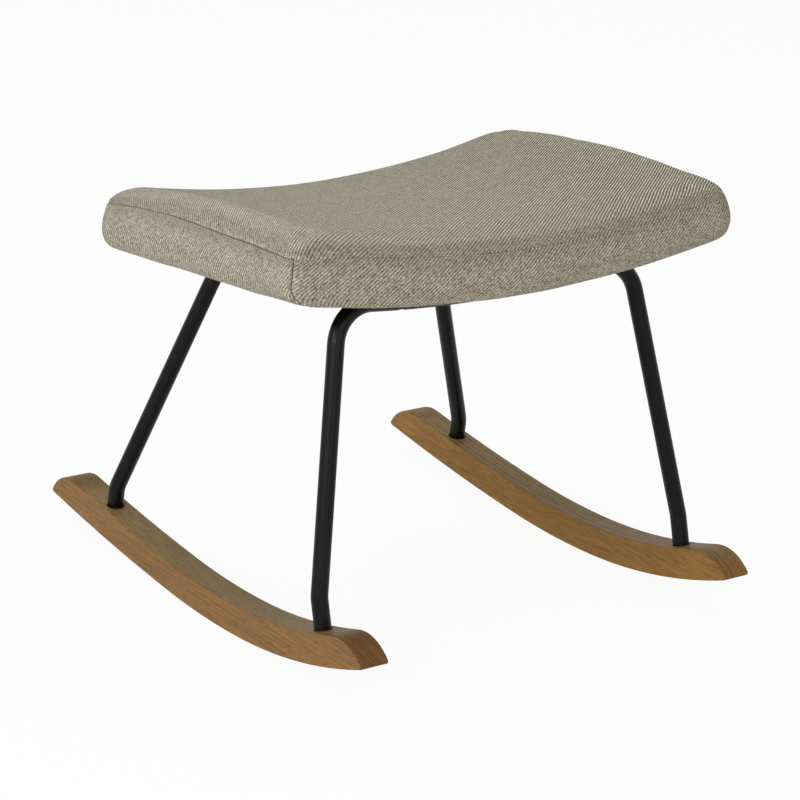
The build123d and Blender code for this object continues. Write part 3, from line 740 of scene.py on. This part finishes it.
def sew(cushion, seams):
    """Draw the cloth in along every seam, pucker it beside them, and mark them for their painted shade."""
    mesh = cushion.data
    normals = [vertex.normal.copy() for vertex in mesh.vertices]
    neighbours = [[] for _ in mesh.vertices]
    for edge in mesh.edges:
        a, b = edge.vertices
        length = (mesh.vertices[a].co - mesh.vertices[b].co).length
        neighbours[a].append((b, length))
        neighbours[b].append((a, length))
    away = {number: 0.0 for number in seams}
    edge_now = list(seams)
    while edge_now:
        edge_next = []
        for number in edge_now:
            for other, length in neighbours[number]:
                distance = away[number] + length
                if distance < PUCKER_REACH and distance < away.get(other, PUCKER_REACH):
                    away[other] = distance
                    edge_next.append(other)
        edge_now = edge_next
    # each seam point's mark sets how dark the painted shade along the seam is
    seam_shade_marks = mesh.attributes.new("seam", "FLOAT", "POINT")
    for number, distance in away.items():
        place = mesh.vertices[number].co
        if distance == 0:
            seam_shade_marks.data[number].value = seams[number]
            mesh.vertices[number].co = place - normals[number] * SEAM_DEPTH * seams[number]
            continue
        fade = math.sin(math.pi * min(distance / PUCKER_REACH, 1))
        pucker = noise.noise(place / PUCKER_LENGTH) * PUCKER_DEPTH * fade
        mesh.vertices[number].co = place + normals[number] * pucker


def make_cushion():
    """Cover the cushion, fill it out, sew it, and let it stand for its CAD solids."""
    cushion, seams, underside = build_cover()
    cushion.data.materials.append(twill_tweed())
    fill_out(cushion, set(seams) | underside)
    sew(cushion, seams)
    for face in cushion.data.polygons:
        face.use_smooth = True
    finer = cushion.modifiers.new("finer", "SUBSURF")
    finer.levels = finer.render_levels = 1
    apply_modifier(cushion, finer)
    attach(cushion, "root")
    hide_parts("seat_foam", "foam_wadding", "top_panel",
                "front_band", "rear_band", "left_band", "right_band")


def finish_frame():
    """Give the pieces that the cushion rests on their finishes."""
    steel, coat = zinc_steel(), satin_powder_coat()
    finishes = {
        "left_rocker": oiled_oak(
            "oiled_oak_left", ring_turn=math.radians(34), ring_pitch=3.1 * MM, ring_share=0.42,
            deep="#7A592C", pale="#926C3D", soak_and_shade=0.78, end_line="#B08A50"),
        "right_rocker": oiled_oak(
            "oiled_oak_right", ring_turn=0, ring_pitch=7 * MM, ring_share=0.8,
            deep="#835F2D", pale="#9C743C", soak_and_shade=0.36, end_line="#4A2F14"),
        "front_leg_frame": coat, "rear_leg_frame": coat,
        "leg_inserts": steel, "rocker_bolts": steel, "rocker_washers": steel, "saddle_washers": steel,
        "board_inserts": steel, "frame_bolts": steel, "staples": steel,
        "seat_board": beech_plywood(), "dust_cover": spunbond_cloth(),
    }
    for name, finish in finishes.items():
        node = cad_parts[name]
        node.data.materials.clear()
        node.data.materials.append(finish)


# ---------------------------------------------------------------- studio
def background_share(tree):
    """1 where the camera, a reflection or a clear body looks at the backdrop, otherwise 0."""
    rays = add_node(tree, "LightPath")
    seen = add_node(tree, "Math", [rays.outputs["Is Camera Ray"], rays.outputs["Is Glossy Ray"]],
                    operation="MAXIMUM")
    return add_node(tree, "Math", [seen, rays.outputs["Is Transmission Ray"]], operation="MAXIMUM")


def make_studio():
    """A pale floor that fades into a white room, with soft lamps from the left, the front and above."""
    bpy.ops.object.select_all(action="DESELECT")
    bpy.ops.mesh.primitive_plane_add(size=FLOOR_SIZE, location=(0, 0, -FLOOR_DROP))
    floor = bpy.context.object
    floor.name = "studio_floor"
    paper, tree = new_surface("pale_paper")
    matt = add_node(tree, "BsdfDiffuse", {"Color": linear("#F6F6F6")})
    glow = add_node(tree, "Emission", {"Color": (1, 1, 1, 1), "Strength": 1.0})
    share = add_node(tree, "Math", [background_share(tree), FLOOR_GLOW], operation="MULTIPLY")
    sheet = add_node(tree, "MixShader", [share, matt, glow])
    # from below the sheet is clear, so that the underside of the seat can be seen
    clear = add_node(tree, "BsdfTransparent")
    from_below = add_node(tree, "NewGeometry").outputs["Backfacing"]
    add_node(tree, "OutputMaterial", {"Surface": add_node(tree, "MixShader", [from_below, sheet, clear])})
    floor.data.materials.append(paper)

    world = bpy.data.worlds.new("studio")
    bpy.context.scene.world = world
    world.use_nodes = True
    tree = world.node_tree
    tree.nodes.clear()
    room = add_node(tree, "Background", {"Color": (1, 1, 1, 1), "Strength": ROOM_LIGHT})
    white = add_node(tree, "Background", {"Color": (1, 1, 1, 1), "Strength": 1.0})
    mixed = add_node(tree, "MixShader", [background_share(tree), room, white])
    add_node(tree, "OutputWorld", {"Surface": mixed})

    for name, (place, size, power, colour) in LAMPS.items():
        data = bpy.data.lights.new(name, "AREA")
        data.energy, data.size, data.color = power, size, linear(colour)[:3]
        lamp = bpy.data.objects.new(name, data)
        lamp.location = place
        lamp.rotation_euler = (LAMP_AIM - Vector(place)).to_track_quat("-Z", "Y").to_euler()
        bpy.context.scene.collection.objects.link(lamp)


def place_camera():
    """The camera at the photograph's angle, distance and roll."""
    azimuth, elevation = math.radians(CAMERA_AZIMUTH), math.radians(CAMERA_ELEVATION)
    back = Vector((math.sin(azimuth) * math.cos(elevation),
                   -math.cos(azimuth) * math.cos(elevation), math.sin(elevation)))
    level = Vector((math.cos(azimuth), math.sin(azimuth), 0))
    right = Matrix.Rotation(math.radians(CAMERA_ROLL), 3, back) @ level
    data = bpy.data.cameras.new("photo_view")
    data.lens, data.sensor_width = CAMERA_LENS, CAMERA_SENSOR
    camera = bpy.data.objects.new("photo_view", data)
    turn = Matrix((right, back.cross(right), back)).transposed().to_4x4()
    camera.matrix_world = Matrix.Translation(CAMERA_TARGET + back * CAMERA_DISTANCE) @ turn
    bpy.context.scene.collection.objects.link(camera)
    bpy.context.scene.camera = camera


finish_frame()
make_cushion()
make_studio()
place_camera()
bpy.context.scene.view_settings.view_transform = "Standard"
